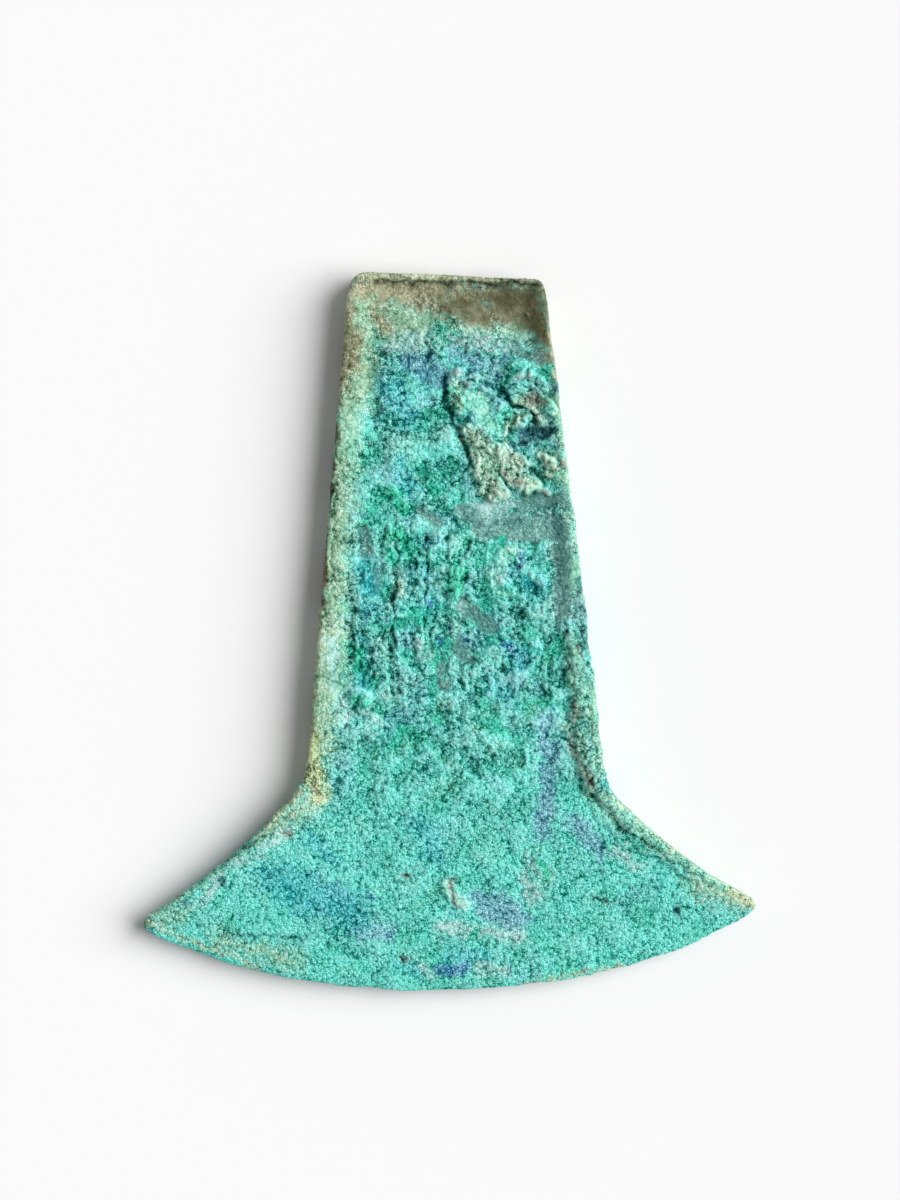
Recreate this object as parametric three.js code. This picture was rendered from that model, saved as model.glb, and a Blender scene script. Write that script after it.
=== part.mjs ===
import * as THREE from 'three';

/* Flat cast bronze axe head, one solid: a body that widens from the butt to the neck, a flared crescent
   blade, and low raised rims along the butt, both sides and both flanks of the blade. The cutting edge
   has no rim. Millimetres, +Z up. It lies on the rims of its back at z = 0, with its butt towards +Y
   and its cutting edge towards -Y. The origin is under the middle of the whole outline. */

const point = (x, y) => new THREE.Vector2(x, y);

// The cutting edge is the lower part of an ellipse: its middle, half its width, and its depth.
const EDGE_MIDDLE = point(-1.1, -29.8);
const EDGE_HALF_WIDTH = 58;
const EDGE_DEPTH = 26;

// The other corners of the outline before they are softened, and how far each soft one reaches.
const LEFT = { butt: point(-14.0, 56.1), neck: point(-22.2, -24.0), buttReach: 5.5, tip: onEdge(edgeAngle(-48.7)) };
const RIGHT = { butt: point(16.3, 54.4), neck: point(24.5, -25.7), buttReach: 2.8, tip: onEdge(edgeAngle(48.4)) };
const NECK_REACH = 4.7;
const TIP_REACH = 2.2;
const FLANK_HOLLOW = 0.8; // each flank of the blade curves in by this much between neck and tip

// Thickness: each is the half on one side of the middle plane.
const RIM_HALF = 3.0;
const TIP_RIM_HALF = 0.9; // the rims thin out towards the tips
const FRONT_WEB_HALF = 2.1; // the web is the sunk field between the rims
const BACK_WEB_HALF = 2.5;
const EDGE_HALF = 0.5; // the cutting edge is worn blunt
const BLADE_LENGTH = 30; // the metal thins over this distance to the cutting edge
const FULLNESS = 0.58; // below 1 the blade's faces swell out instead of running straight to the edge

// Rims: distances in from the outline. The left rim's inner slope is long, the butt's is steep.
const CHAMFER = 0.45;
const CREST = 1.2;
const LEFT_FOOT = 5.6;
const RIGHT_FOOT = 4.0;
const BUTT_FOOT = 2.2;
const SLOPE_STEPS = 4;

// Grid of both faces: columns run from butt to blade, rows from side to side.
const WEB_STEPS = 10;
const BUTT_ROWS = [0, 0.3, 0.8, 1.2, 1.7, 2.2, 3.2];
const BODY_STEP = 4.4;
const NECK_STEP = 0.9;
const FLANK_STEP = 1.8;
const TIP_STEP = 0.45;
const STRETCH = 0.08; // share of a row or a side over which its direction is taken

// ---- Outline ----

// Angle on the ellipse of the cutting edge, at a place across the blade.
function edgeAngle(x) {
  return -Math.acos((x - EDGE_MIDDLE.x) / EDGE_HALF_WIDTH);
}

function onEdge(angle) {
  return point(Math.cos(angle) * EDGE_HALF_WIDTH, Math.sin(angle) * EDGE_DEPTH).add(EDGE_MIDDLE);
}

function towards(from, to, distance) {
  return to.clone().sub(from).setLength(distance).add(from);
}

function halfway(a, b) {
  return a.clone().add(b).divideScalar(2);
}

// A soft corner is a quadratic curve, drawn as two halves that meet here.
function softMiddle(before, corner, after) {
  return halfway(halfway(before, corner), halfway(corner, after));
}

function curveTo(path, control, end) {
  return path.quadraticCurveTo(control.x, control.y, end.x, end.y);
}

// One side, from the middle of the soft butt corner to the middle of the soft tip.
function sidePath(side, otherButt, edgeStart) {
  const onButt = towards(side.butt, otherButt, side.buttReach / 2);
  const belowButt = towards(side.butt, side.neck, side.buttReach);
  const aboveNeck = towards(side.neck, side.butt, NECK_REACH);
  const belowNeck = towards(side.neck, side.tip, NECK_REACH);
  const beforeTip = towards(side.tip, side.neck, TIP_REACH);
  const flank = beforeTip.clone().sub(belowNeck);
  const inward = point(-Math.abs(flank.y) * Math.sign(flank.x), -Math.abs(flank.x));
  const hollow = halfway(belowNeck, beforeTip).add(inward.setLength(2 * FLANK_HOLLOW));
  const start = softMiddle(onButt, side.butt, belowButt);
  const end = softMiddle(beforeTip, side.tip, edgeStart);

  const path = new THREE.Path().moveTo(start.x, start.y);
  curveTo(path, halfway(side.butt, belowButt), belowButt);
  path.lineTo(aboveNeck.x, aboveNeck.y);
  curveTo(path, side.neck, belowNeck);
  curveTo(path, hollow, beforeTip);
  return curveTo(path, halfway(beforeTip, side.tip), end);
}

const startAngle = edgeAngle(LEFT.tip.x + TIP_REACH);
const endAngle = edgeAngle(RIGHT.tip.x - TIP_REACH);
const leftSide = sidePath(LEFT, RIGHT.butt, onEdge(startAngle));
const rightSide = sidePath(RIGHT, LEFT.butt, onEdge(endAngle));

// The two ends, each from the left side to the right one.
function buttPath() {
  const start = leftSide.getPoint(0);
  const left = towards(LEFT.butt, RIGHT.butt, LEFT.buttReach / 2);
  const right = towards(RIGHT.butt, LEFT.butt, RIGHT.buttReach / 2);
  const path = new THREE.Path().moveTo(start.x, start.y);
  curveTo(path, halfway(LEFT.butt, left), left);
  path.lineTo(right.x, right.y);
  return curveTo(path, halfway(right, RIGHT.butt), rightSide.getPoint(0));
}

function edgePath() {
  const start = leftSide.getPoint(1);
  const left = onEdge(startAngle);
  const path = new THREE.Path().moveTo(start.x, start.y);
  curveTo(path, halfway(LEFT.tip, left), left);
  path.absellipse(EDGE_MIDDLE.x, EDGE_MIDDLE.y, EDGE_HALF_WIDTH, EDGE_DEPTH, startAngle, endAngle, false, 0);
  return curveTo(path, halfway(onEdge(endAngle), RIGHT.tip), rightSide.getPoint(1));
}

const butt = buttPath();
const cuttingEdge = edgePath();

// ---- Grid on the plan ----

// Shares of a side's length at which the rows stand: close together where the outline bends.
function rowShares() {
  const length = leftSide.getLength();
  const neck = LEFT.butt.distanceTo(LEFT.neck);
  const distances = [...BUTT_ROWS];
  const walk = (end, step) => {
    const start = distances.at(-1);
    const count = Math.round((end - start) / step);
    for (let i = 1; i <= count; i++) {
      distances.push(start + ((end - start) * i) / count);
    }
  };
  walk(neck - NECK_REACH, BODY_STEP);
  walk(neck + NECK_REACH, NECK_STEP);
  walk(length - TIP_REACH, FLANK_STEP);
  walk(length, TIP_STEP);
  return distances.map((distance) => distance / length);
}

// A rim's columns keep a fixed distance from their side, and the web's share the rest of the row.
function rimColumns(side, foot) {
  const insets = [0, CHAMFER, CREST];
  for (let i = 1; i <= SLOPE_STEPS; i++) {
    insets.push(CREST + ((foot - CREST) * i) / SLOPE_STEPS);
  }
  return insets.map((inset) => ({ side, inset, foot }));
}

function columnList() {
  const web = [];
  for (let i = 1; i < WEB_STEPS; i++) {
    web.push({ side: 'web', share: i / WEB_STEPS });
  }
  return [...rimColumns('left', LEFT_FOOT), ...web, ...rimColumns('right', RIGHT_FOOT).reverse()];
}

const rows = rowShares();
const columns = columnList();

// How far an end stands out from the straight line between its own two ends.
function bow(end, share) {
  return end.getPoint(share).sub(end.getPoint(0).lerp(end.getPoint(1), share));
}

// The first row is the butt and the last one the cutting edge. The ones between turn gradually from one
// to the other, and the butt's shape fades sooner.
function onRow(row, share) {
  const place = leftSide.getPoint(row).lerp(rightSide.getPoint(row), share);
  place.addScaledVector(bow(butt, share), (1 - row) ** 12);
  return place.addScaledVector(bow(cuttingEdge, share), row ** 3);
}

// Share of a row at which it is a given distance in from one side. Both directions are taken over
// stretches that are long beside a soft corner.
function insetShare(row, side, inset) {
  const isLeft = side === 'left';
  const path = isLeft ? leftSide : rightSide;
  const across = onRow(row, isLeft ? STRETCH : 1 - STRETCH).sub(onRow(row, isLeft ? 0 : 1));
  const ahead = path.getPoint(Math.min(row + STRETCH / 2, 1));
  const along = ahead.sub(path.getPoint(Math.max(row - STRETCH / 2, 0)));
  const slant = Math.abs(across.clone().normalize().cross(along.normalize()));
  const share = (inset * STRETCH) / (across.length() * slant);
  return isLeft ? share : 1 - share;
}

function columnShare(row, column) {
  if (column.side !== 'web') {
    return insetShare(row, column.side, column.inset);
  }
  const leftFoot = insetShare(row, 'left', LEFT_FOOT);
  const rightFoot = insetShare(row, 'right', RIGHT_FOOT);
  return THREE.MathUtils.lerp(leftFoot, rightFoot, column.share);
}

// ---- Thickness ----

function buttDistance(place) {
  const buttLine = RIGHT.butt.clone().sub(LEFT.butt).normalize();
  return Math.abs(place.clone().sub(LEFT.butt).cross(buttLine));
}

// 1 on a rim's crest, 0 from its foot inwards. The back's rims are broader and plainer.
function rimHeight(inset, foot, isFront) {
  const crest = isFront ? CREST : CREST + (foot - CREST) / SLOPE_STEPS;
  return 1 - THREE.MathUtils.smoothstep(inset, crest, foot);
}

function halfThickness(place, column, isFront) {
  const depth = Math.max(place.y - onEdge(edgeAngle(place.x)).y, 0);
  const fullness = Math.min(depth / BLADE_LENGTH, 1) ** FULLNESS;
  const web = THREE.MathUtils.lerp(EDGE_HALF, isFront ? FRONT_WEB_HALF : BACK_WEB_HALF, fullness);
  const rim = THREE.MathUtils.lerp(TIP_RIM_HALF, RIM_HALF, fullness);
  const sideRim = column.side === 'web' ? 0 : rimHeight(column.inset, column.foot, isFront);
  const buttRim = rimHeight(buttDistance(place), BUTT_FOOT, isFront);
  const half = THREE.MathUtils.lerp(web, rim, Math.max(sideRim, buttRim));
  const isOutline = column.inset === 0 || buttDistance(place) < CHAMFER / 2;
  return isOutline ? half - Math.min(CHAMFER, half / 3) : half;
}

// ---- Axe head ----

// A box whose front and back carry the grid, bent onto the outline.
function axeHeadGeometry() {
  const across = columns.length - 1;
  const down = rows.length - 1;
  const geometry = new THREE.BoxGeometry(1, 1, 1, across, down, 1);
  const position = geometry.getAttribute('position');
  for (let i = 0; i < position.count; i++) {
    const column = columns[Math.round((position.getX(i) + 0.5) * across)];
    const row = rows[Math.round((0.5 - position.getY(i)) * down)];
    const isFront = position.getZ(i) > 0;
    const place = onRow(row, columnShare(row, column));
    const half = halfThickness(place, column, isFront);
    position.setXYZ(i, place.x, place.y, isFront ? half : -half);
  }
  geometry.computeBoundingBox();
  const middle = geometry.boundingBox.getCenter(new THREE.Vector3());
  geometry.translate(-middle.x, -middle.y, -geometry.boundingBox.min.z);
  geometry.computeVertexNormals();
  return geometry;
}

const patina = new THREE.MeshStandardMaterial({ color: 0x4fa38c, roughness: 0.85, metalness: 0.1 });
const axeHead = new THREE.Mesh(axeHeadGeometry(), patina);
axeHead.name = 'axe_head';

const model = new THREE.Group();
model.add(axeHead);

export default model;
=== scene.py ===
"""Cast bronze axe head with raised side rims and an old copper-green crust, lying on a pale floor.

The head is one piece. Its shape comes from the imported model, is rounded a little, and then carries the
crust as real relief. Named patches, written as soft brush strokes in millimetres, say where each kind of
patina lies.
"""
import math

import bpy
from bpy.props import FloatProperty, FloatVectorProperty, IntProperty, PointerProperty
from bpy.types import Operator, Panel, PropertyGroup
import numpy as np
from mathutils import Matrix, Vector, noise


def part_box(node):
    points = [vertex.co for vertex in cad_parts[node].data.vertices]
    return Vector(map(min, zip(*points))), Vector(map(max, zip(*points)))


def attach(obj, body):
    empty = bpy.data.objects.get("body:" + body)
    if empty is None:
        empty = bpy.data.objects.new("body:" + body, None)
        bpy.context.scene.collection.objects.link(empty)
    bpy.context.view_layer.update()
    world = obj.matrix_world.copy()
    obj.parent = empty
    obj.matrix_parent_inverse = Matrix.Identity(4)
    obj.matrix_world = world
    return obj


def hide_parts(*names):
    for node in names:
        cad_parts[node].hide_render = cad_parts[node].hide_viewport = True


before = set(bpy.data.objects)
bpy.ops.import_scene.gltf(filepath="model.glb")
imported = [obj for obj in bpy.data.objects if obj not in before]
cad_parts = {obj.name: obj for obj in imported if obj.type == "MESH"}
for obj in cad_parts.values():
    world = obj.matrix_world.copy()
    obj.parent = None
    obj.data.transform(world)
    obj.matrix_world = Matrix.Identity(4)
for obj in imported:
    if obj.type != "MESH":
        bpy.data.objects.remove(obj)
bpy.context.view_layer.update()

bl_info = {
    "name": "Bronze axe head",
    "version": (1, 0, 0),
    "blender": (4, 5, 0),
    "location": "View3D > Sidebar > Axe head",
    "description": "Builds the patinated bronze axe head and the pale floor it lies on",
    "category": "Object",
}

HEAD_NODE = "axe_head"
HEAD_PIECE = "axe_head_patinated"
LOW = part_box(HEAD_NODE)[0]
MM = 0.001
TRIANGLE_LIMIT = 200000

# In millimetres: how far off a stroke stops mattering, the heights between which the back gives way to the
# front, and for the relief and the colours where the blade begins along the length and where it is reached.
FAR_AWAY = 6.0
FRONT_FROM, FRONT_TO = 2.6, 3.6
BLADE_RELIEF_FROM, BLADE_RELIEF_TO = -18.0, -34.0
BLADE_COLOUR_FROM, BLADE_COLOUR_TO = -14.0, -28.0

# The streaks down the middle: where they fade in and out at each end of the body, in millimetres.
STREAKS_TOP, STREAKS_FULL_TOP = 24.0, 14.0
STREAKS_BOTTOM, STREAKS_FULL_BOTTOM = -16.0, -6.0

# What each part of the relief adds to the height of the surface, in millimetres.
PLATE_RISE = 0.26
WAVE_RISE = 0.55
CRUMPLE_RISE = 0.9
CLUMP_RISE = 1.5
GRAIN_RISE = 0.3
PIT_RISE = -0.22
STREAK_RISE = 0.42
SKIN_RISE = -0.12
RAISED_CRUST_RISE = 0.82
LOW_CRUST_RISE = 0.5
KNOB_RISE = 0.4
KNOT_RISE = 0.5
GROOVE_RISE = -0.45
CRACK_RISE = -0.5

# Rounds of smoothing that find the small hollows and the wide dells, and the mesh's cleaning and thinning.
HOLLOW_ROUNDS = 14
DELL_ROUNDS = 90
WELD_REACH = 0.001 * MM
BACK_THINNING, FRONT_THINNING = 1.0, 0.25

# The patina's finish, with its painted glints and the painted shade in its hollows.
PATINA_ROUGHNESS = 0.82
PATINA_SHINE = 0.06
GRAIN_DEPTH = 0.38 * MM
# Painted glints: pale mint specks that stand in for highlights on the crust.
PAINTED_GLINT_COLOUR = (0.75, 0.97, 0.93, 1.0)
PAINTED_GLINT_SHARE = 0.6
# Painted shade: a near-black green laid into the hollows of the crust.
HOLLOW_SHADE_COLOUR = (0.004, 0.075, 0.058, 1.0)
HOLLOW_SHADE_SHARE = 0.4

# The stage: reach and rise of the floor's rings in metres, and where the light and the camera stand.
FLOOR_RINGS = ((1.2, 0.0), (1.5, 0.03), (1.8, 0.12), (2.1, 0.27), (2.4, 0.48))
FLOOR_TURNS = 96
FLOOR_ROUGHNESS = 0.9
KEY_SIDE = math.radians(8.0)
CAMERA_OVER = (0.89 * MM, 4.88 * MM)
CAMERA_TURN = math.radians(-1.0)
SENSOR_WIDTH = 36.0
NEAREST_SEEN = 0.01


def srgb(red, green, blue):
    """A screen colour of 0 to 255 as the linear colour that nodes take."""
    parts = [value / 255 for value in (red, green, blue)]
    return tuple(v / 12.92 if v <= 0.04045 else ((v + 0.055) / 1.055) ** 2.4 for v in parts)


# Each patina has a deep, a middle and a pale tone.
PATINAS = {
    "crust": ("Main crust", srgb(0, 102, 90), srgb(98, 220, 203), srgb(168, 255, 247)),
    "blade": ("Crust on the blade", srgb(0, 112, 100), srgb(96, 228, 210), srgb(160, 255, 244)),
    "sage": ("Sage margin", srgb(50, 96, 72), srgb(144, 190, 158), srgb(228, 250, 226)),
    "khaki": ("Khaki earth", srgb(62, 58, 38), srgb(134, 136, 105), srgb(230, 228, 200)),
    "umber": ("Umber smears", srgb(40, 38, 22), srgb(86, 86, 62), srgb(152, 156, 126)),
    "buff": ("Buff earth", srgb(80, 78, 56), srgb(134, 137, 109), srgb(202, 200, 166)),
    "olive": ("Olive yellow waist", srgb(84, 98, 52), srgb(194, 215, 154), srgb(246, 253, 210)),
    "slate": ("Blue grey skin", srgb(10, 82, 102), srgb(96, 166, 184), srgb(184, 240, 252)),
    "bare": ("Bare grey skin", srgb(38, 96, 90), srgb(100, 153, 146), srgb(186, 234, 226)),
    "cyan": ("Blue green clumps", srgb(0, 84, 98), srgb(40, 182, 190), srgb(144, 244, 250)),
    "azure": ("Azurite specks", srgb(6, 58, 104), srgb(48, 128, 178), srgb(160, 222, 240)),
    "emerald": ("Emerald clumps", srgb(0, 92, 68), srgb(28, 192, 156), srgb(116, 250, 214)),
    "mint": ("Mint plaque", srgb(70, 170, 146), srgb(150, 238, 216), srgb(214, 255, 244)),
    "tan": ("Tan crust", srgb(52, 92, 72), srgb(166, 214, 186), srgb(236, 255, 226)),
    "rust": ("Red brown knots", srgb(46, 40, 34), srgb(114, 102, 94), srgb(170, 158, 144)),
    # Dark blue pits and cracks, and painted shadow in the groove along the left and lower side of the raised
    # crust.
    "ink": ("Dark blue pits", srgb(8, 54, 64), srgb(50, 104, 116), srgb(120, 180, 186)),
    # Dark seams along the rims and a crack, and painted shade along the left outer edge, which faces away
    # from the light.
    "seam": ("Dark seams", srgb(28, 24, 14), srgb(66, 62, 42), srgb(128, 124, 94)),
    "moss": ("Dark green rim crust", srgb(26, 82, 64), srgb(116, 188, 162), srgb(190, 248, 222)),
    "cream": ("Cream edges", srgb(104, 112, 72), srgb(190, 208, 166), srgb(240, 248, 218)),
    "bloom": ("White bloom", srgb(80, 160, 158), srgb(164, 220, 214), srgb(230, 252, 250)),
}

# Where each patina lies: x and y where a stroke starts, x and y where it ends, and its radius, in
# millimetres. After the strokes come the ragged width of the patch's border, how soft it is, how strongly it
# covers, and if only the front has it.
PATCHES = {
    "sage": ([
        (-10.0, 50.5, -4.5, 47.0, 3.6), (-12.8, 50.0, -13.8, 38.0, 4.0), (-15.6, 36.0, -17.2, 16.0, 3.1),
        (-17.6, 16.0, -19.0, -8.0, 3.3), (-19.4, -8.0, -20.2, -17.0, 2.9), (4.0, 47.4, 12.5, 46.2, 1.5),
        (18.2, 36.0, 19.6, 20.0, 0.9), (-22.0, -26.5, -26.0, -30.0, 1.4), (19.5, 18.0, 20.4, 6.0, 0.8),
        (22.6, -9.0, 24.2, -21.0, 0.7), (38.0, -39.4, 45.0, -42.6, 1.2),
        (25.0, -26.4, 33.7, -33.8, 0.5), (-36.0, -47.0, -24.0, -51.0, 0.6),
        (33.7, -33.8, 43.2, -40.4, 0.5),
    ], 2.8, 2.2, 1.0, False),
    "khaki": ([
        (-12.5, 55.4, 15.5, 54.4, 1.4), (-13.4, 54.6, -14.4, 51.0, 1.0),
        (-12.0, 53.8, 0.0, 52.6, 1.6), (-14.2, 51.0, -15.4, 39.0, 1.4),
        (16.0, 54.6, 17.2, 48.0, 1.0), (17.2, 48.0, 18.4, 38.0, 0.7), (-10.0, 50.0, -8.0, 47.0, 0.8),
        (17.2, 50.0, 17.8, 44.0, 0.5), (-13.5, 46.0, -14.0, 42.0, 1.6),
    ], 2.0, 1.0, 0.95, False),
    "buff": ([
        (-9.0, 53.0, 14.5, 51.6, 1.7), (-5.5, 52.4, 2.5, 50.0, 1.8), (4.0, 50.0, 14.0, 48.6, 1.6),
        (2.0, 52.4, 8.0, 52.0, 0.9), (-13.5, 52.5, -10.0, 52.8, 0.8),
        (8.0, 48.4, 10.0, 49.4, 1.0), (-3.0, 50.4, 0.5, 48.6, 0.8),
    ], 1.8, 1.2, 0.95, True),
    "olive": ([
        (-21.2, -16.0, -20.9, -22.0, 1.6), (-20.6, -21.0, -19.8, -25.0, 1.6),
        (-22.5, -24.0, -30.0, -32.0, 0.3),
        (-18.9, 13.0, -19.4, 8.0, 1.0),
    ], 1.6, 0.8, 0.9, False),
    "moss": ([
        (19.6, -1.0, 20.4, -9.0, 0.9), (20.2, -9.0, 20.8, -16.0, 0.9), (20.8, -16.0, 22.2, -24.0, 1.1),
        (22.2, -25.2, 26.8, -30.6, 0.8), (26.8, -30.6, 31.6, -34.2, 0.4), (31.6, -34.2, 37.5, -37.9, 0.25),
        (37.5, -37.9, 43.5, -41.5, 0.2), (-47.0, -43.8, -41.5, -43.2, 1.6),
        (-46.0, -43.0, -34.0, -35.5, 0.7),
        (-34.0, -35.5, -25.0, -28.5, 0.4), (18.6, 43.0, 19.2, 37.0, 0.8), (17.5, 12.0, 20.5, 8.0, 0.7),
        (21.2, 6.0, 21.8, -3.0, 0.5), (-15.5, 33.5, -13.5, 27.0, 0.9),
    ], 2.0, 1.0, 0.8, True),
    "slate": ([
        (-4.6, 42.2, -0.6, 39.6, 2.0), (2.4, 43.4, 6.0, 41.2, 1.2), (15.6, -13.6, 15.9, -24.9, 1.3),
        (15.9, -24.9, 14.3, -31.0, 1.5), (4.8, -41.4, 10.8, -44.2, 1.6), (6.0, -43.6, 9.5, -45.4, 1.4),
        (-14.0, -46.2, -9.4, -47.1, 1.1), (-18.0, -39.6, -16.5, -41.0, 0.9),
        (19.5, -30.0, 23.5, -34.5, 1.2), (8.0, 38.6, 10.0, 43.0, 1.0),
    ], 3.0, 0.9, 0.9, True),
    "bare": ([
        (3.4, 18.4, 9.0, 18.8, 1.5), (6.6, 16.2, 17.6, 15.6, 2.3), (12.0, 19.4, 18.2, 20.4, 1.4),
        (18.2, 12.5, 18.6, 2.5, 1.5), (2.8, 4.4, 5.6, 1.6, 1.2), (5.2, 2.2, 6.8, 0.2, 0.9),
        (2.0, -1.8, 3.8, -4.6, 0.9), (-10.5, 9.5, -10.8, 6.5, 0.7),
        (-3.0, 18.8, -1.2, 17.0, 1.0), (-1.0, -5.5, -0.4, -8.6, 0.7), (10.0, 44.0, 15.5, 42.0, 1.0),
        (-12.5, 16.0, -12.0, 12.0, 0.8),
    ], 1.6, 0.45, 0.95, True),
    "cyan": ([
        (-29.0, -36.5, -26.5, -39.5, 1.4), (-25.0, -38.6, -15.0, -43.6, 3.2),
        (-21.0, -32.0, -18.0, -35.0, 1.2),
        (9.4, -2.0, 12.6, -4.6, 1.4), (11.4, 9.0, 14.6, 6.4, 1.4), (-12.4, 10.0, -11.2, 4.0, 1.5),
        (-3.0, 13.0, -2.4, 3.0, 0.5), (-8.0, 38.0, -5.0, 33.0, 1.6), (-12.6, -2.0, -13.2, -7.0, 1.0),
        (-7.0, 25.0, -5.0, 22.0, 1.2), (7.0, -8.0, 10.0, -10.0, 1.0), (-4.0, -30.0, -2.0, -34.0, 1.6),
        (1.0, -50.5, 5.0, -51.0, 1.0), (-8.0, -52.0, -4.0, -52.6, 0.8),
    ], 3.4, 1.6, 0.75, True),
    "bloom": ([
        (-17.4, -1.0, -17.2, -8.8, 0.6), (-16.8, -10.0, -15.4, -13.0, 0.7), (-1.6, -45.8, 10.8, -47.3, 0.9),
        (4.4, -52.6, 9.0, -52.9, 0.7), (-4.4, -51.6, -3.2, -52.4, 0.6), (-24.4, -29.8, -29.4, -34.2, 0.6),
        (-29.4, -34.2, -33.4, -35.4, 0.4), (-33.4, -35.4, -39.6, -42.2, 0.5), (-7.0, 9.6, -6.4, 8.4, 0.5),
        (26.0, -34.5, 29.0, -37.0, 0.8), (6.0, 18.6, 10.6, 20.0, 0.7), (-4.2, -2.0, -2.8, -3.4, 0.7),
        (7.2, 9.6, 9.0, 8.0, 0.7), (12.0, -38.5, 13.5, -41.5, 0.9), (-13.0, -12.0, -11.0, -13.5, 0.7),
        (13.0, -36.0, 15.0, -38.0, 1.0), (-8.0, 44.0, -3.0, 45.5, 0.9), (3.0, 45.0, 9.0, 44.0, 0.8),
    ], 2.6, 1.0, 0.85, True),
    "emerald": ([
        (1.7, 9.0, 1.4, 6.6, 1.6), (-8.2, 21.6, -6.2, 19.0, 1.2), (-7.4, 15.4, -4.6, 12.4, 1.2),
        (-1.4, 22.6, -1.2, 21.6, 0.9), (-13.8, -10.2, -12.6, -11.2, 0.7), (9.0, 14.0, 11.0, 11.0, 0.5),
        (14.0, -36.0, 15.0, -38.0, 0.8), (4.0, -46.5, 3.0, -48.0, 0.5),
        (-2.0, 12.0, -1.6, 10.5, 0.7), (-9.0, 13.0, -8.0, 10.0, 0.7),
        (-13.6, -2.6, -13.0, -5.4, 1.1),
    ], 2.2, 0.5, 0.95, True),
    "tan": ([
        (4.9, 30.4, 9.0, 25.8, 1.5), (9.0, 25.8, 13.8, 22.0, 1.4), (6.0, 27.4, 8.2, 21.8, 1.8),
        (6.0, 21.8, 9.6, 21.2, 0.9), (16.0, 26.8, 17.6, 25.0, 0.9), (9.0, 28.0, 12.0, 25.0, 1.3),
        (12.4, 36.0, 15.2, 32.6, 1.0),
        (2.4, 38.6, 3.2, 35.0, 0.7), (-7.2, 7.6, -6.8, 6.4, 0.5), (18.6, -15.0, 19.6, -19.0, 0.3),
        (12.0, 33.0, 9.5, 30.5, 0.6),
    ], 2.2, 1.0, 0.85, True),
    "mint": ([
        (4.2, 36.9, 7.4, 31.8, 1.0), (5.2, 35.8, 6.8, 33.6, 1.5), (0.4, -39.6, 2.0, -42.2, 1.0),
        (8.2, 7.0, 9.6, 5.4, 0.5), (7.6, 9.4, 10.3, 12.6, 0.35), (10.5, 12.6, 14.6, 7.4, 0.35),
    ], 0.9, 0.5, 1.0, True),
    # Painted shadow: the strokes along the left and lower side of the raised crust darken it as its shade
    # would; the rest are real dark pits and cracks.
    "ink": ([
        (13.2, 30.0, 17.0, 31.0, 1.3), (21.0, 8.0, 21.7, -3.5, 0.4), (35.4, -44.0, 35.8, -44.4, 0.4),
        (20.4, -53.2, 21.0, -53.0, 0.4), (-35.4, -38.0, -35.0, -38.2, 0.6),
        (-41.2, -41.4, -40.8, -41.8, 0.5),
        (0.2, 39.8, 0.6, 35.4, 0.2), (0.6, 35.4, 2.0, 32.3, 0.2), (2.0, 32.3, 3.8, 30.2, 0.2),
        (-1.5, 46.8, -1.7, 41.6, 0.12), (-33.9, -45.9, -23.4, -47.2, 0.1), (17.6, 37.6, 18.6, 35.6, 0.5),
    ], 1.2, 0.6, 0.9, True),
    "umber": ([
        (3.4, 50.6, 6.4, 49.0, 1.9), (9.6, 51.2, 14.0, 49.2, 2.6), (14.4, 49.5, 16.8, 44.5, 1.7),
        (14.6, 53.0, 15.6, 50.0, 0.9), (5.0, 51.6, 11.0, 51.6, 0.6), (15.4, 46.0, 16.6, 42.5, 0.9),
    ], 1.2, 1.5, 1.0, False),
    # Painted shade: the wide strokes along the left edge darken the side that faces away from the light; the
    # thin ones are real dark seams.
    "seam": ([
        (-9.8, 54.0, 15.0, 53.5, 0.22), (15.4, 53.2, 17.6, 40.0, 0.1), (-14.6, 50.0, -16.2, 35.0, 0.5),
        (-16.6, 32.0, -17.8, 20.0, 0.5), (-18.3, 15.0, -19.4, 2.0, 0.5), (-19.9, -3.0, -21.1, -15.0, 0.4),
        (-7.6, 12.0, -7.8, 4.0, 0.05), (-24.2, -28.2, -35.6, -35.8, 0.1),
    ], 0.9, 0.45, 0.9, False),
    "rust": ([
        (14.2, 36.4, 15.8, 35.2, 0.9), (2.6, 39.9, 2.8, 39.8, 0.4), (4.3, 38.8, 4.5, 38.7, 0.4),
        (10.1, 40.2, 10.3, 40.1, 0.3), (12.1, 39.2, 12.4, 39.2, 0.4), (13.8, 39.2, 14.2, 39.0, 0.4),
        (15.6, 21.8, 15.9, 21.6, 0.5), (18.2, 26.2, 18.6, 25.8, 0.4), (-6.2, -37.7, -6.0, -38.0, 0.5),
        (-7.2, -50.9, -7.0, -51.2, 0.5), (21.9, -41.7, 25.6, -41.9, 0.12),
        (-25.0, -31.0, -24.2, -31.2, 0.5),
        (19.8, -11.0, 20.3, -14.0, 0.3), (19.6, -18.2, 20.8, -21.5, 0.25), (22.0, -22.0, 22.6, -25.0, 0.25),
        (-0.7, -38.8, 2.0, -38.7, 0.15), (0.9, -38.8, 0.8, -42.3, 0.15), (13.0, -53.8, 13.4, -53.7, 0.35),
        (10.2, 24.0, 12.0, 22.6, 0.3), (-20.4, -23.6, -19.6, -24.6, 0.4), (20.6, -2.0, 20.9, -4.0, 0.3),
    ], 1.2, 0.5, 0.8, True),
    "azure": ([
        (12.6, 11.0, 12.9, 10.6, 0.4), (14.8, 7.9, 15.0, 7.5, 0.4), (-2.3, 5.2, -2.1, 4.6, 0.7),
        (12.0, 11.4, 12.4, 9.6, 0.3), (-0.6, -1.0, 0.0, -2.0, 0.3),
        (0.7, 0.9, 0.9, 0.5, 0.2), (2.9, -1.0, 3.1, -1.4, 0.3), (9.2, -2.0, 10.2, -2.8, 0.9),
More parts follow.
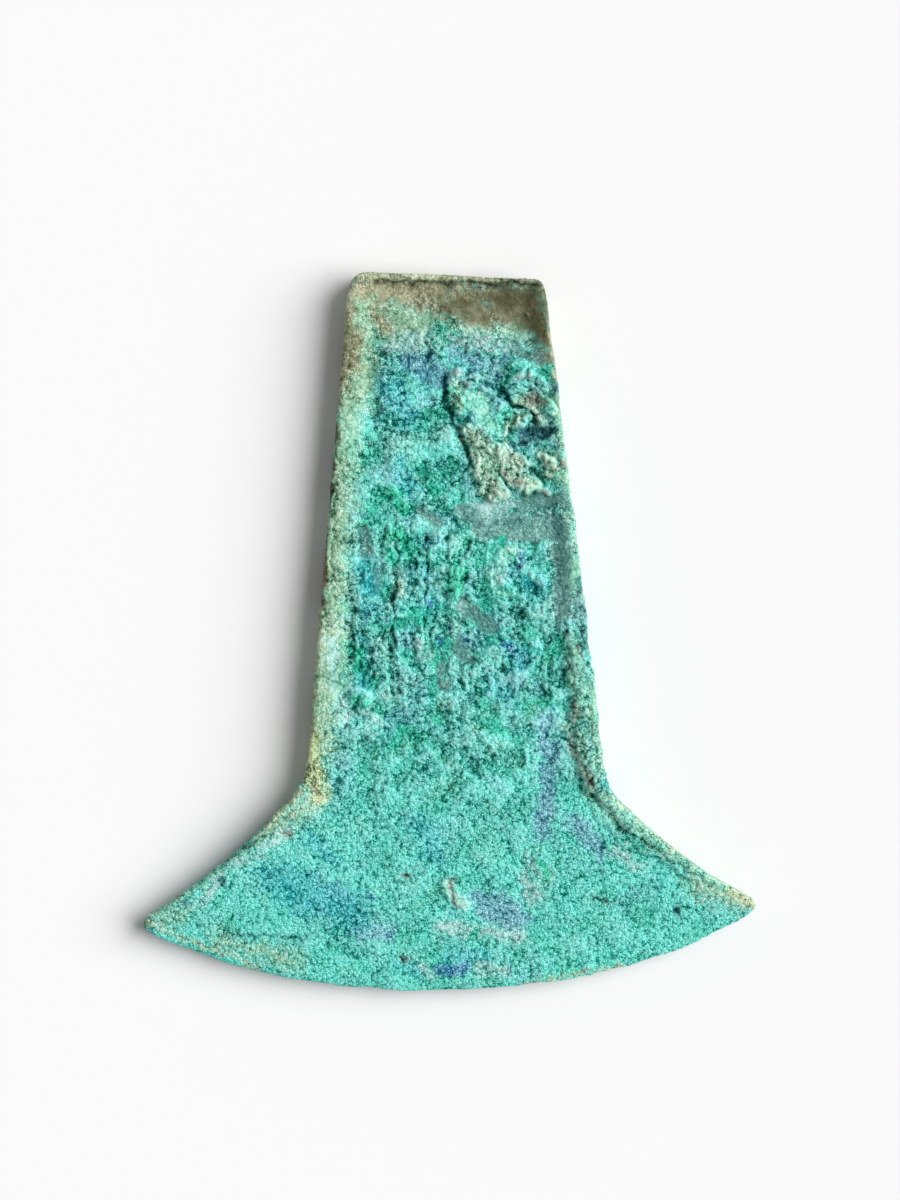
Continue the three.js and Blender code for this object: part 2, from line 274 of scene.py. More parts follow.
        (12.3, -3.8, 12.5, -4.0, 0.3), (-1.4, -52.3, 2.4, -52.5, 0.8), (-3.8, 40.6, -3.0, 40.2, 0.3),
        (-9.4, 2.4, -9.2, 2.0, 0.3), (17.0, -12.0, 17.4, -13.0, 0.2),
        (-12.0, -40.5, -11.6, -41.0, 0.3), (8.2, -43.6, 9.0, -44.0, 0.3),
    ], 1.4, 0.35, 0.95, True),
    "cream": ([
        (25.5, -26.2, 33.9, -33.2, 0.25), (33.9, -33.2, 43.4, -39.9, 0.3), (43.8, -41.4, 47.0, -43.2, 1.0),
        (-14.4, 53.0, -16.4, 34.0, 0.3), (-19.1, 4.0, -21.4, -17.0, 0.3), (12.0, -54.8, 27.0, -52.2, 0.2),
        (-47.0, -44.2, -30.0, -51.6, 0.2), (-11.8, 55.3, -8.0, 54.8, 0.4), (16.8, 54.0, 18.8, 34.0, 0.15),
        (-22.6, -24.8, -46.5, -43.4, 0.15), (-6.0, 55.2, 12.0, 54.4, 0.15),
    ], 1.2, 0.6, 0.9, False),
}

# Relief of the front, in the same strokes. Crust and knots stand up, grooves and cracks are cut in.
CRUST_STROKES = [
    (2.6, 38.8, 3.6, 35.0, 1.8), (3.8, 37.6, 8.0, 32.6, 2.9), (8.0, 34.2, 12.0, 32.6, 1.5),
    (11.6, 38.2, 15.8, 34.4, 2.1), (13.9, 39.2, 16.6, 37.6, 0.8), (5.2, 30.6, 9.2, 26.2, 1.7),
    (9.0, 26.0, 13.8, 22.2, 1.5), (6.3, 27.4, 8.0, 22.0, 2.1), (6.0, 21.9, 9.6, 21.4, 0.9),
    (8.6, 28.0, 12.0, 24.6, 1.6), (15.6, 26.6, 16.6, 25.4, 0.9),
]
LOW_CRUST_STROKES = [
    (7.2, 8.7, 10.4, 12.7, 0.8), (10.4, 12.7, 15.4, 6.6, 0.9), (8.4, 8.0, 12.0, 9.4, 1.5),
    (9.0, 5.0, 14.0, 3.4, 1.4), (18.9, 1.0, 20.2, -9.0, 1.0), (20.2, -9.0, 22.0, -24.0, 1.2),
    (1.6, 8.8, 1.4, 6.8, 1.4), (0.4, -39.8, 2.0, -42.2, 1.3), (-14.5, -8.0, -12.5, -11.0, 1.2),
]
KNOT_STROKES = [
    (2.6, 39.9, 2.8, 39.8, 0.35), (4.3, 38.8, 4.5, 38.7, 0.35), (10.1, 40.2, 10.3, 40.1, 0.3),
    (12.1, 39.2, 12.4, 39.2, 0.4), (13.8, 39.2, 14.2, 39.0, 0.4), (15.6, 21.8, 15.9, 21.6, 0.45),
    (18.2, 26.2, 18.6, 25.8, 0.4), (28.4, -31.6, 28.8, -31.8, 0.5), (17.2, 24.4, 17.6, 24.2, 0.35),
    (-41.2, -41.4, -40.9, -41.7, 0.2), (13.4, 48.6, 13.6, 48.5, 0.2),
]
GROOVE_STROKES = [
    (0.1, 40.0, 0.5, 35.4, 0.15), (0.5, 35.4, 1.9, 32.3, 0.15), (1.9, 32.3, 3.6, 30.0, 0.15),
    (3.4, 30.0, 3.8, 25.0, 0.3), (-10.0, 54.0, 15.0, 53.4, 0.25), (22.2, -25.6, 26.8, -30.8, 0.5),
    (26.8, -30.8, 31.6, -34.3, 0.3), (31.6, -34.3, 37.5, -38.0, 0.2), (37.5, -38.0, 43.0, -41.4, 0.1),
    (21.4, -27.8, 27.0, -33.2, 0.1), (29.0, -34.2, 38.0, -40.0, 0.05),
    (13.2, 30.0, 17.0, 30.9, 0.9), (-35.4, -38.0, -35.0, -38.2, 0.4), (9.6, 36.8, 10.4, 39.6, 0.4),
]
CRACK_STROKES = [
    (-1.5, 46.8, -1.7, 41.6, 0.05), (-33.9, -45.9, -23.4, -47.2, 0.02), (-0.7, -38.8, 2.0, -38.7, 0.08),
    (0.9, -38.8, 0.8, -42.3, 0.08), (-6.2, -37.7, -6.0, -38.0, 0.25), (-7.2, -50.9, -7.0, -51.2, 0.25),
    (21.9, -41.7, 25.6, -41.9, 0.02), (35.4, -44.0, 35.8, -44.4, 0.3), (-7.6, 14.4, -7.9, -1.2, 0.12),
    (-2.6, 14.3, -2.9, -1.3, 0.12), (0.5, 14.2, 0.4, 9.8, 0.1), (-5.2, 13.0, -5.4, 6.0, 0.08),
    (-16.0, 30.0, -17.4, 8.0, 0.03),
]
RELIEF_STROKES = {
    "raised_crust": CRUST_STROKES, "low_crust": LOW_CRUST_STROKES, "knots": KNOT_STROKES,
    "grooves": GROOVE_STROKES, "cracks": CRACK_STROKES,
}

# Patches that are smooth, and how smooth.
SKINS = {"slate": 0.4, "bare": 1.0, "umber": 1.0, "mint": 0.9, "buff": 0.6}


def distance_to(places, strokes):
    """Millimetres from each place to the nearest of some brush strokes, and below 0 inside one."""
    nearest = np.full(len(places), FAR_AWAY)
    for x0, y0, x1, y1, radius in strokes:
        run = np.array((x1 - x0, y1 - y0))
        away = places - (x0, y0)
        share = np.clip(away @ run / (run @ run), 0.0, 1.0)
        nearest = np.minimum(nearest, np.linalg.norm(away - share[:, None] * run, axis=1) - radius)
    return nearest


def pushed_about(points, size, reach):
    """Points in millimetres moved by about reach by a soft noise, so that strokes get natural borders."""
    return points + reach * np.array([noise.noise_vector(Vector(point)) for point in points / size])


def mark_patches(mesh):
    """Notes on the fine mesh how far each vertex is from every patch and every stroke of the relief."""
    points = np.zeros(3 * len(mesh.vertices))
    mesh.vertices.foreach_get("co", points)
    points = points.reshape(-1, 3) / MM
    front = np.clip((points[:, 2] - FRONT_FROM) / (FRONT_TO - FRONT_FROM), 0.0, 1.0)
    behind = FAR_AWAY * (1.0 - front)
    places = pushed_about(pushed_about(points, 2.4, 0.9), 0.9, 0.3)[:, :2]
    distances = {"front": front}
    for name, (strokes, _ragged, _soft, _strength, front_only) in PATCHES.items():
        distances[name] = distance_to(places, strokes) + front_only * behind
    for name, strokes in RELIEF_STROKES.items():
        distances[name] = distance_to(places, strokes) + behind
    for name, values in distances.items():
        carried = mesh.attributes.new(name, "FLOAT", "POINT")
        carried.data.foreach_set("value", np.minimum(values, FAR_AWAY).astype(np.float32))


def rest_on_floor(mesh):
    """Brings up the vertices that thinning left a little below the floor."""
    points = np.zeros(3 * len(mesh.vertices))
    mesh.vertices.foreach_get("co", points)
    points[2::3] = np.maximum(points[2::3], LOW.z)
    mesh.vertices.foreach_set("co", points)
    mesh.update()


class NodeMaker:
    """Short ways to add nodes to one tree and to wire them as they are made."""

    def __init__(self, tree):
        self.tree = tree

    def add(self, kind, inputs=(), **settings):
        node = self.tree.nodes.new(kind)
        for name, value in settings.items():
            setattr(node, name, value)
        for key, value in dict(inputs).items():
            self.give(node.inputs[key], value)
        return node

    def give(self, socket, value):
        if isinstance(value, bpy.types.NodeSocket):
            self.tree.links.new(value, socket)
        elif value is not None:
            socket.default_value = value

    def math(self, operation, first, second=None):
        return self.add("ShaderNodeMath", {0: first, 1: second}, operation=operation).outputs[0]

    def total(self, *values):
        result = values[0]
        for value in values[1:]:
            result = self.math("ADD", result, value)
        return result

    def times(self, *values):
        result = values[0]
        for value in values[1:]:
            result = self.math("MULTIPLY", result, value)
        return result

    def vector(self, operation, first, second=None, scale=None):
        node = self.add("ShaderNodeVectorMath", {0: first, 1: second}, operation=operation)
        if scale is not None:
            self.give(node.inputs["Scale"], scale)
        return node.outputs["Value" if operation == "DOT_PRODUCT" else "Vector"]

    def step(self, value, start, end, low=0.0, high=1.0):
        """A smooth step of value, from low at start to high at end."""
        inputs = {"Value": value, "From Min": start, "From Max": end, "To Min": low, "To Max": high}
        return self.add("ShaderNodeMapRange", inputs, interpolation_type="SMOOTHSTEP").outputs["Result"]

    def noise(self, place, size, detail=2.0, rough=0.5, colour=False):
        """Soft noise from 0 to 1, or a colour of three such noises."""
        inputs = {"Vector": place, "Scale": 1 / size, "Detail": detail, "Roughness": rough}
        return self.add("ShaderNodeTexNoise", inputs).outputs[1 if colour else 0]

    def wave(self, place, size, detail, rough):
        """The same noise about 0."""
        return self.math("SUBTRACT", self.noise(place, size, detail, rough), 0.5)

    def cells(self, place, size):
        """How far the place is from the nearest of some scattered points."""
        return self.add("ShaderNodeTexVoronoi", {"Vector": place, "Scale": 1 / size}).outputs["Distance"]

    def mix(self, share, first, second):
        inputs = {0: share, 2: first, 3: second}
        return self.add("ShaderNodeMix", inputs, data_type="FLOAT").outputs[0]

    def blend(self, share, first, second):
        inputs = {0: share, 6: first, 7: second}
        return self.add("ShaderNodeMix", inputs, data_type="RGBA").outputs[2]

    def ramp(self, value, tones):
        """The deep, middle or pale tone that goes with a value from 0 to 1."""
        node = self.add("ShaderNodeValToRGB", {0: value})
        ramp = node.color_ramp
        ramp.elements.new(0.5)
        for element, place, tone in zip(ramp.elements, (0.0, 0.5, 1.0), tones):
            element.position = place
            element.color = (*tone, 1.0)
        return node.outputs[0]


def wandering(make, place, size, reach):
    """The place pushed about by a soft noise, so that what is drawn there gets natural borders."""
    drift = make.noise(place, size, 2.0, 0.55, colour=True)
    push = make.vector("SCALE", make.vector("SUBTRACT", drift, (0.5, 0.5, 0.5)), scale=2 * reach)
    return make.vector("ADD", place, push)


def relief_field(make, place, carried):
    """The crust's height over the cast surface in millimetres, how rough it is, and where it has plates."""
    rough_place = wandering(make, place, 2.4, 1.1)
    loose_place = wandering(make, rough_place, 0.9, 0.35)
    front = carried("front")

    def cover(name, soft):
        return make.step(carried(name), soft, -soft)

    skin = None
    for name, smoothness in SKINS.items():
        here = make.times(cover(name, 0.8), smoothness)
        skin = here if skin is None else make.math("MAXIMUM", skin, here)
    crust = cover("raised_crust", 0.4)
    low_crust = cover("low_crust", 0.7)
    margin = cover("sage", 0.8)
    butt = cover("khaki", 0.6)

    along = make.vector("DOT_PRODUCT", place, (0.0, 1.0, 0.0))
    blade = make.step(along, BLADE_RELIEF_FROM, BLADE_RELIEF_TO)
    centre = make.times(make.step(along, STREAKS_TOP, STREAKS_FULL_TOP),
                        make.step(along, STREAKS_BOTTOM, STREAKS_FULL_BOTTOM))
    quiet = make.step(make.noise(place, 5.2, 2.0, 0.6), 0.4, 0.6, 0.35, 1.2)
    plates = make.step(make.noise(rough_place, 4.4, 4.0, 0.6), 0.47, 0.55)
    plates = make.times(plates, front, make.mix(skin, 1.0, 0.0), make.mix(margin, 1.0, 0.2))
    plates = make.times(plates, make.mix(butt, 1.0, 0.0), make.mix(blade, 1.0, 0.4))

    loud = make.times(make.mix(front, 0.5, 1.0), quiet)
    loud = make.times(loud, make.mix(skin, 1.0, 0.15), make.mix(margin, 1.0, 0.6))
    loud = make.times(loud, make.mix(butt, 1.0, 0.6), make.mix(blade, 1.0, 0.55))

    waves = make.wave(place, 9.0, 2.0, 0.5)
    crumple = make.wave(rough_place, 2.1, 6.0, 0.74)
    folds = make.wave(rough_place, 1.7, 3.0, 0.62)
    clumps = make.math("SUBTRACT", make.math("ABSOLUTE", folds), 0.09)
    grains = make.math("SUBTRACT", 0.4, make.cells(loose_place, 0.8))
    pits = make.step(make.cells(rough_place, 2.7), 0.24, 0.08)
    drawn = make.vector("MULTIPLY", rough_place, (1.0, 0.1, 1.0))
    streaks = make.math("SUBTRACT", make.step(make.noise(drawn, 1.9, 3.0, 0.6), 0.4, 0.6), 0.5)

    surface = make.total(
        make.times(crumple, CRUMPLE_RISE),
        make.times(clumps, CLUMP_RISE),
        make.times(grains, GRAIN_RISE),
        make.times(pits, PIT_RISE),
        make.times(streaks, centre, STREAK_RISE),
    )
    knobs = make.math("SUBTRACT", 0.42, make.cells(loose_place, 0.9))
    uneven = make.mix(cover("mint", 0.5), 1.0, 0.25)
    raised = make.times(crust, make.total(
        RAISED_CRUST_RISE, make.times(knobs, uneven, KNOB_RISE), make.times(crumple, uneven, 1.5)))
    low_raised = make.times(low_crust, make.total(
        LOW_CRUST_RISE, make.times(knobs, KNOB_RISE), make.times(crumple, 0.8)))
    height = make.total(
        make.times(plates, PLATE_RISE),
        make.times(waves, WAVE_RISE),
        make.times(surface, loud),
        make.times(skin, SKIN_RISE),
        make.math("MAXIMUM", raised, low_raised),
        make.times(cover("knots", 0.35), KNOT_RISE),
        make.times(cover("grooves", 0.5), GROOVE_RISE),
        make.times(cover("cracks", 0.3), CRACK_RISE),
    )
    return height, loud, plates


def relief_tree(metal):
    """Geometry nodes that round the cast shape, raise the crust on it and note its height, roughness,
    plates, hollows and dells.
    """
    tree = bpy.data.node_groups.new("axe_head_relief", "GeometryNodeTree")
    face = tree.interface
    face.new_socket("Geometry", in_out="INPUT", socket_type="NodeSocketGeometry")
    face.new_socket("Rounding", in_out="INPUT", socket_type="NodeSocketInt")
    face.new_socket("Crust height", in_out="INPUT", socket_type="NodeSocketFloat")
    face.new_socket("Geometry", in_out="OUTPUT", socket_type="NodeSocketGeometry")
    make = NodeMaker(tree)
    given = tree.nodes.new("NodeGroupInput")
    position = make.add("GeometryNodeInputPosition").outputs[0]

    def smoothed(value, rounds, kind="FLOAT"):
        inputs = {"Value": value, "Iterations": rounds}
        return make.add("GeometryNodeBlurAttribute", inputs, data_type=kind).outputs[0]

    rounded = smoothed(position, given.outputs["Rounding"], "FLOAT_VECTOR")
    shaped = make.add("GeometryNodeSetPosition",
                      {"Geometry": given.outputs["Geometry"], "Position": rounded}).outputs[0]

    place = make.vector("SCALE", position, scale=1 / MM)

    def carried(name):
        return make.add("GeometryNodeInputNamedAttribute", {"Name": name}, data_type="FLOAT").outputs[0]

    def store(mesh, name, value):
        inputs = {"Geometry": mesh, "Name": name, "Value": value}
        node = make.add("GeometryNodeStoreNamedAttribute", inputs, data_type="FLOAT", domain="POINT")
        return node.outputs[0]

    height, loud, plates = relief_field(make, place, carried)
    mesh = store(shaped, "relief", height)
    mesh = store(mesh, "loud", loud)
    mesh = store(mesh, "plates", plates)
    kept = carried("relief")
    mesh = store(mesh, "hollow", make.math("SUBTRACT", smoothed(kept, HOLLOW_ROUNDS), kept))
    mesh = store(mesh, "dell", make.math("SUBTRACT", smoothed(kept, DELL_ROUNDS), kept))

    normal = make.add("GeometryNodeInputNormal").outputs[0]
    lift = make.times(kept, given.outputs["Crust height"], MM)
    offset = make.vector("SCALE", normal, scale=lift)
    mesh = make.add("GeometryNodeSetPosition", {"Geometry": mesh, "Offset": offset}).outputs[0]
    resting = make.vector("MAXIMUM", position, (-1.0, -1.0, LOW.z))
    mesh = make.add("GeometryNodeSetPosition", {"Geometry": mesh, "Position": resting}).outputs[0]
    mesh = make.add("GeometryNodeRealizeInstances", {"Geometry": mesh}).outputs[0]
    mesh = make.add("GeometryNodeSetMaterial", {"Geometry": mesh, "Material": metal}).outputs[0]
    tree.links.new(mesh, tree.nodes.new("NodeGroupOutput").inputs[0])
    return tree


def set_input(modifier, name, value):
    """Sets a modifier's named input by its socket's identifier."""
    for item in modifier.node_group.interface.items_tree:
        if item.item_type == "SOCKET" and item.in_out == "INPUT" and item.name == name:
            modifier[item.identifier] = value
            return
    raise RuntimeError(f"the relief tree has no input named {name}")


def patina_material(colours):
    """Copper-green patina, laid on by the patches that the mesh carries, its grain in colour and bump, with
    painted shade in its hollows and dells and painted glints.
    """
    metal = bpy.data.materials.new("patinated_bronze")
    metal.use_nodes = True
    tree = metal.node_tree
    tree.nodes.clear()
    make = NodeMaker(tree)

    def carried(name):
        node = make.add("ShaderNodeAttribute", attribute_type="GEOMETRY", attribute_name=name)
        return node.outputs["Fac"]

    def tones(name):
        return [tuple(getattr(colours, f"{name}_{part}")) for part in ("deep", "middle", "pale")]

    spot = make.add("ShaderNodeTexCoord").outputs["Object"]
    place = make.vector("SCALE", spot, scale=1 / MM)
    drift = make.noise(place, 0.8, 2.0, 0.6, colour=True)
    shaken = make.vector("ADD", place, make.vector("SCALE", drift, scale=0.5))
    hollow, dell = carried("hollow"), carried("dell")
    loud, plates = carried("loud"), carried("plates")

    speckle = make.wave(place, 0.9, 6.0, 0.76)
    mottle = make.wave(place, 3.2, 5.0, 0.6)
    broad = make.wave(place, 9.0, 2.0, 0.5)
    away = make.cells(shaken, 0.6)
    grain = make.math("SUBTRACT", 0.2, make.times(away, away))
    fine = make.wave(place, 0.24, 2.0, 0.75)

    along = make.vector("DOT_PRODUCT", place, (0.0, 1.0, 0.0))
    blade = make.step(make.total(along, make.times(mottle, 12.0)), BLADE_COLOUR_FROM, BLADE_COLOUR_TO)
    umber = make.math("MAXIMUM", make.step(carried("umber"), 1.0, -1.0),
                      make.times(make.step(carried("buff"), 1.0, -1.0), 0.4))
    skin = make.math("MAXIMUM", make.step(carried("bare"), 0.8, -0.8), make.step(carried("mint"), 0.5, -0.5))
    rough = make.times(make.mix(skin, 1.0, 0.9), make.mix(umber, 1.0, 0.3))
    rough = make.times(rough, make.mix(make.step(carried("sage"), 1.0, -1.0), 1.0, 0.75))
    rough = make.times(rough, make.step(loud, 0.1, 0.9, make.mix(blade, 0.6, 0.9), 1.2))
    # Painted shade and highlight: the tone falls in the hollows and wide dells of the relief and rises on
    # its crests.
    detail = make.total(
        make.times(speckle, 1.1),
        make.times(grain, 0.8),
        make.times(fine, make.mix(blade, 2.6, 3.1)),
        make.times(hollow, -1.0),
        make.times(plates, 0.08),
    )
    tone = make.total(
        make.mix(blade, 0.55, 0.61),
        make.times(detail, rough),
        make.times(mottle, make.mix(blade, 1.1, 0.5)),
        make.times(broad, make.mix(blade, 0.6, 0.2)),
        make.times(dell, -0.4),
    )
    tone = make.math("MAXIMUM", make.math("MINIMUM", tone, 1.0), 0.0)

    green = make.noise(place, 4.6, 3.0, 0.55)
    blue = make.noise(make.vector("ADD", place, (40.0, 0.0, 0.0)), 5.4, 3.0, 0.55)
    colour = make.blend(blade, make.ramp(tone, tones("crust")), make.ramp(tone, tones("blade")))
    calm = make.mix(blade, 1.0, 0.5)
    for hue, start, end, strength, name in (
        (green, 0.5, 0.38, 0.7, "emerald"), (green, 0.54, 0.66, 0.25, "bare"),
        (blue, 0.52, 0.66, 0.5, "slate"), (blue, 0.46, 0.34, 0.2, "sage"),
    ):
        cover = make.times(make.step(hue, start, end, 0.0, strength), calm)
        colour = make.blend(cover, colour, make.ramp(tone, tones(name)))

    ragged_noise = make.wave(place, 1.1, 5.0, 0.72)
    for name, (_strokes, ragged, soft, strength, _front_only) in PATCHES.items():
        border = make.total(carried(name), make.times(ragged_noise, 2.0 * ragged))
        cover = make.step(border, soft, -soft, 0.0, strength)
        colour = make.blend(cover, colour, make.ramp(tone, tones(name)))

    # Painted glints: small pale mint specks stand in for highlights on the crust.
    painted_glint = make.step(make.cells(shaken, 0.9), 0.12, 0.05)
    chosen = make.step(make.noise(place, 3.1, 1.0, 0.5), 0.5, 0.6)
    colour = make.blend(make.times(painted_glint, chosen, PAINTED_GLINT_SHARE), colour, PAINTED_GLINT_COLOUR)
    # Painted shade: the hollows of the relief are darkened towards a near-black green.
    hollow_shade = make.step(hollow, 0.1, 0.34)
    colour = make.blend(make.times(hollow_shade, HOLLOW_SHADE_SHARE), colour, HOLLOW_SHADE_COLOUR)

    bump_height = make.total(make.times(speckle, 1.6), make.times(grain, 1.0), make.times(fine, 1.2))
    bump_height = make.times(bump_height, rough)
    bump = make.add("ShaderNodeBump", {"Strength": 1.0, "Distance": GRAIN_DEPTH, "Height": bump_height})

    shader = make.add("ShaderNodeBsdfPrincipled", {"Base Color": colour, "Normal": bump.outputs[0]})
    shader.inputs["Roughness"].default_value = PATINA_ROUGHNESS
    shader.inputs["Specular IOR Level"].default_value = PATINA_SHINE
    output = tree.nodes.new("ShaderNodeOutputMaterial")
    tree.links.new(shader.outputs[0], output.inputs["Surface"])
    return metal


def plain_material(name, colour, roughness):
    """A single quiet surface for the floor."""
    surface = bpy.data.materials.new(name)
    surface.use_nodes = True
    shader = surface.node_tree.nodes["Principled BSDF"]
    shader.inputs["Base Color"].default_value = (*colour, 1.0)
    shader.inputs["Roughness"].default_value = roughness
    shader.inputs["Specular IOR Level"].default_value = 0.0
    return surface


class AXEHEAD_PG_head(PropertyGroup):
    """Sizes of the axe head's finished surface."""
    voxel: FloatProperty(
        name="Mesh step", description="Step of the fine mesh before it is thinned", default=0.21 * MM,
        min=0.1 * MM, unit="LENGTH", precision=5)
    rounding: IntProperty(
        name="Rounding", description="How often corners and rims are smoothed", default=7, min=0, max=60)
    crust_height: FloatProperty(
        name="Crust height", description="Strength of the crust's relief", default=1.0, min=0.0, max=2.0)
    triangles: IntProperty(
        name="Triangles", description="Most triangles in the finished head", default=195000, min=20000)


class AXEHEAD_PG_colours(PropertyGroup):
    """The deep, middle and pale tone of each patina."""


for _name, (_label, *_tones) in PATINAS.items():
    for _part, _tone in zip(("deep", "middle", "pale"), _tones):
        AXEHEAD_PG_colours.__annotations__[f"{_name}_{_part}"] = FloatVectorProperty(
            name=f"{_label}, {_part}", description=f"The {_part} tone of this patina", default=_tone,
            subtype="COLOR", size=3, min=0.0, max=1.0)


class AXEHEAD_PG_stage(PropertyGroup):
    """Floor, light and camera."""
    floor_colour: FloatVectorProperty(
        name="Floor", description="Colour of the floor", default=(0.77, 0.77, 0.77), subtype="COLOR", size=3,
        min=0.0, max=1.0)
    fill: FloatProperty(
        name="Fill light", description="Strength of the light from all around", default=0.25, min=0.0)
    key: FloatProperty(
        name="Key light", description="Strength of the soft light from the right", default=4.74, min=0.0)
    key_spread: FloatProperty(
        name="Key spread", description="How wide the soft light is, seen from the axe head",
        default=math.radians(54.0), min=0.0, subtype="ANGLE")
    key_rise: FloatProperty(
        name="Key rise", description="How high the soft light stands over the floor",
        default=math.radians(40.0), min=0.0, subtype="ANGLE")
    camera_height: FloatProperty(
        name="Camera height", description="Height of the lens over the floor", default=0.5215, min=0.1,
        unit="LENGTH")
    focal_length: FloatProperty(
        name="Focal length", description="Focal length in millimetres", default=100.0, min=10.0,
        unit="CAMERA")


class AXEHEAD_OT_make_head(Operator):
    """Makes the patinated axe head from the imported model"""
    bl_idname = "axehead.make_head"
    bl_label = "Make axe head"

    def execute(self, context):
        sizes = context.scene.axehead_head
        metal = patina_material(context.scene.axehead_colours)
        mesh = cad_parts[HEAD_NODE].data.copy()
        mesh.materials.clear()
        draft = bpy.data.objects.new("axe_head_draft", mesh)
        context.scene.collection.objects.link(draft)
        weld = draft.modifiers.new("weld", "WELD")
        weld.merge_threshold = WELD_REACH
        remesh = draft.modifiers.new("fine_mesh", "REMESH")
        remesh.mode = "VOXEL"
        remesh.voxel_size = sizes.voxel
        draft.data = self.solid(context, draft)
        draft.modifiers.clear()
        mark_patches(draft.data)
        relief = draft.modifiers.new("relief", "NODES")
        relief.node_group = relief_tree(metal)
        set_input(relief, "Rounding", sizes.rounding)
        set_input(relief, "Crust height", sizes.crust_height)
        fine = self.solid(context, draft)
        triangles = sum(len(face.vertices) - 2 for face in fine.polygons)
        bpy.data.objects.remove(draft)
        head = bpy.data.objects.new(HEAD_PIECE, fine)
        context.scene.collection.objects.link(head)
        behind = head.vertex_groups.new(name="behind")
        front = np.zeros(len(fine.vertices))
        fine.attributes["front"].data.foreach_get("value", front)
        for chosen, thinning in ((front < 0.5, BACK_THINNING), (front >= 0.5, FRONT_THINNING)):
            behind.add(np.flatnonzero(chosen).tolist(), thinning, "REPLACE")
        thin = head.modifiers.new("thin", "DECIMATE")
        thin.vertex_group = behind.name
        thin.ratio = min(1.0, sizes.triangles / triangles)
        thin.use_collapse_triangulate = True
        thinned = self.solid(context, head)
        head.modifiers.clear()
        head.vertex_groups.clear()
        head.data = thinned
        thinned.name = HEAD_PIECE
        rest_on_floor(thinned)
        if len(thinned.polygons) >= TRIANGLE_LIMIT:
            raise RuntimeError("the axe head has too many triangles")
        for face in thinned.polygons:
            face.use_smooth = True
        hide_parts(HEAD_NODE)
        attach(head, "root")
        return {"FINISHED"}

    def solid(self, context, piece):
        """The evaluated piece as a plain mesh."""
        graph = context.evaluated_depsgraph_get()
        graph.update()
        return bpy.data.meshes.new_from_object(piece.evaluated_get(graph), depsgraph=graph)


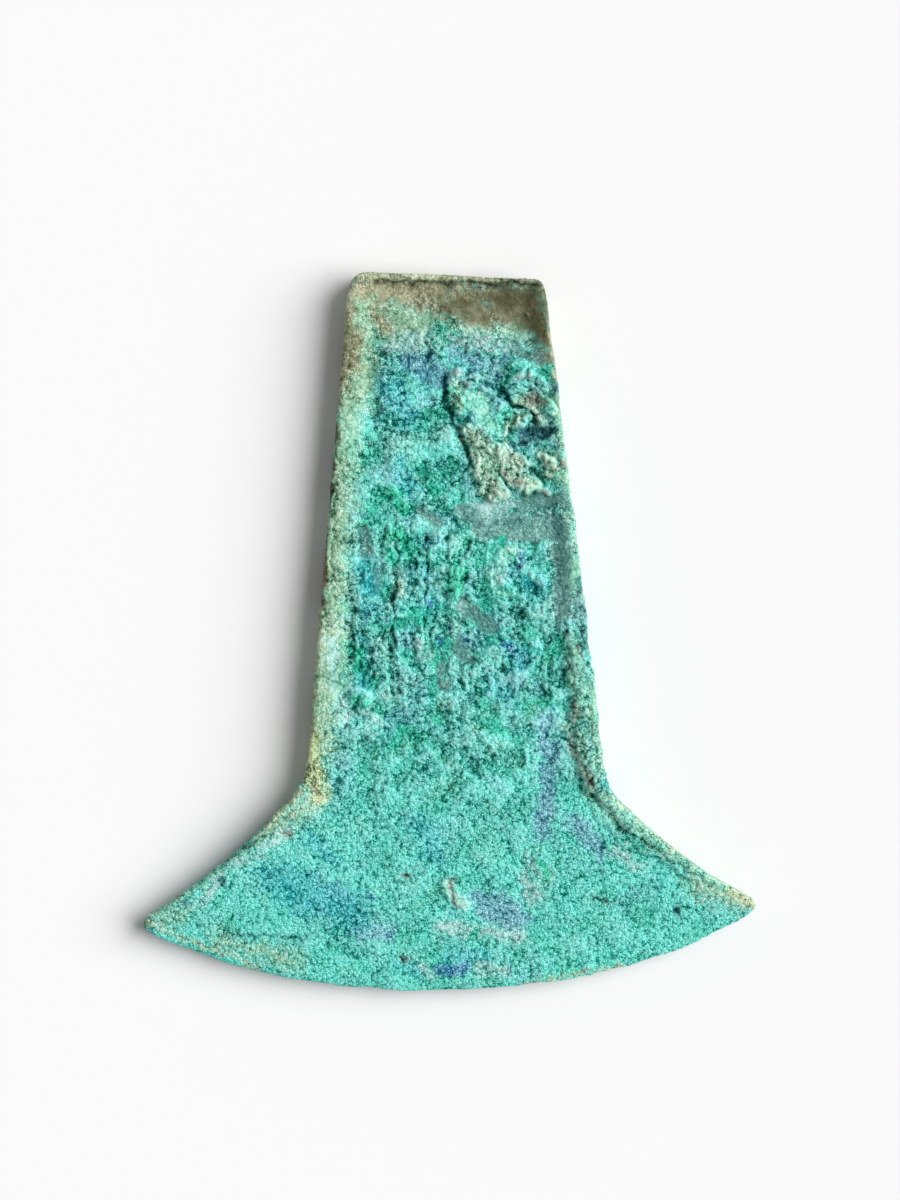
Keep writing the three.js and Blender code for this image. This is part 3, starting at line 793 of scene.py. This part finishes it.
class AXEHEAD_OT_make_stage(Operator):
    """Lays the pale floor, sets the soft light and hangs the camera over the axe head"""
    bl_idname = "axehead.make_stage"
    bl_label = "Make stage"

    def execute(self, context):
        scene = context.scene
        stage = scene.axehead_stage
        floor_mesh = bpy.data.meshes.new("floor")
        points, faces = [(0.0, 0.0, LOW.z)], []
        for reach, rise in FLOOR_RINGS:
            for turn in range(FLOOR_TURNS):
                angle = 2 * math.pi * turn / FLOOR_TURNS
                points.append((reach * math.cos(angle), reach * math.sin(angle), LOW.z + rise))
        for turn in range(FLOOR_TURNS):
            after = (turn + 1) % FLOOR_TURNS
            faces.append((0, 1 + turn, 1 + after))
            for ring in range(len(FLOOR_RINGS) - 1):
                inner, outer = 1 + ring * FLOOR_TURNS, 1 + (ring + 1) * FLOOR_TURNS
                faces.append((inner + turn, outer + turn, outer + after, inner + after))
        floor_mesh.from_pydata(points, [], faces)
        for face in floor_mesh.polygons:
            face.use_smooth = True
        floor_mesh.materials.append(plain_material("pale_floor", stage.floor_colour, FLOOR_ROUGHNESS))
        floor = bpy.data.objects.new("floor", floor_mesh)
        scene.collection.objects.link(floor)

        world = bpy.data.worlds.new("soft_room")
        world.use_nodes = True
        air = world.node_tree.nodes["Background"]
        air.inputs["Color"].default_value = (1.0, 1.0, 1.0, 1.0)
        air.inputs["Strength"].default_value = stage.fill
        scene.world = world

        lamp = bpy.data.lights.new("key", "SUN")
        lamp.energy = stage.key
        lamp.angle = stage.key_spread
        key = bpy.data.objects.new("key", lamp)
        rise, level = stage.key_rise, math.cos(stage.key_rise)
        towards = Vector((level * math.cos(KEY_SIDE), level * math.sin(KEY_SIDE), math.sin(rise)))
        key.location = towards
        key.rotation_euler = towards.to_track_quat("Z", "Y").to_euler()
        scene.collection.objects.link(key)

        lens = bpy.data.cameras.new("camera")
        lens.lens = stage.focal_length
        lens.sensor_width = SENSOR_WIDTH
        lens.clip_start = NEAREST_SEEN
        camera = bpy.data.objects.new("camera", lens)
        camera.location = (*CAMERA_OVER, stage.camera_height)
        camera.rotation_euler = (0.0, 0.0, CAMERA_TURN)
        scene.collection.objects.link(camera)
        scene.camera = camera
        scene.view_settings.view_transform = "Standard"
        return {"FINISHED"}


class AXEHEAD_PT_panel(Panel):
    """Lists the axe head's sizes, colours and makers"""
    bl_idname = "AXEHEAD_PT_panel"
    bl_label = "Axe head"
    bl_space_type = "VIEW_3D"
    bl_region_type = "UI"
    bl_category = "Axe head"

    def draw(self, context):
        layout = self.layout
        for group in ("axehead_head", "axehead_stage", "axehead_colours"):
            settings = getattr(context.scene, group)
            box = layout.box()
            for name in settings.__annotations__:
                box.prop(settings, name)
        layout.operator(AXEHEAD_OT_make_head.bl_idname)
        layout.operator(AXEHEAD_OT_make_stage.bl_idname)


CLASSES = (
    AXEHEAD_PG_head, AXEHEAD_PG_colours, AXEHEAD_PG_stage, AXEHEAD_OT_make_head, AXEHEAD_OT_make_stage,
    AXEHEAD_PT_panel,
)


def register():
    for kind in CLASSES:
        bpy.utils.register_class(kind)
    bpy.types.Scene.axehead_head = PointerProperty(type=AXEHEAD_PG_head)
    bpy.types.Scene.axehead_colours = PointerProperty(type=AXEHEAD_PG_colours)
    bpy.types.Scene.axehead_stage = PointerProperty(type=AXEHEAD_PG_stage)


def unregister():
    del bpy.types.Scene.axehead_stage
    del bpy.types.Scene.axehead_colours
    del bpy.types.Scene.axehead_head
    for kind in reversed(CLASSES):
        bpy.utils.unregister_class(kind)


def main():
    register()
    bpy.ops.axehead.make_head()
    bpy.ops.axehead.make_stage()


if __name__ == "__main__":
    main()
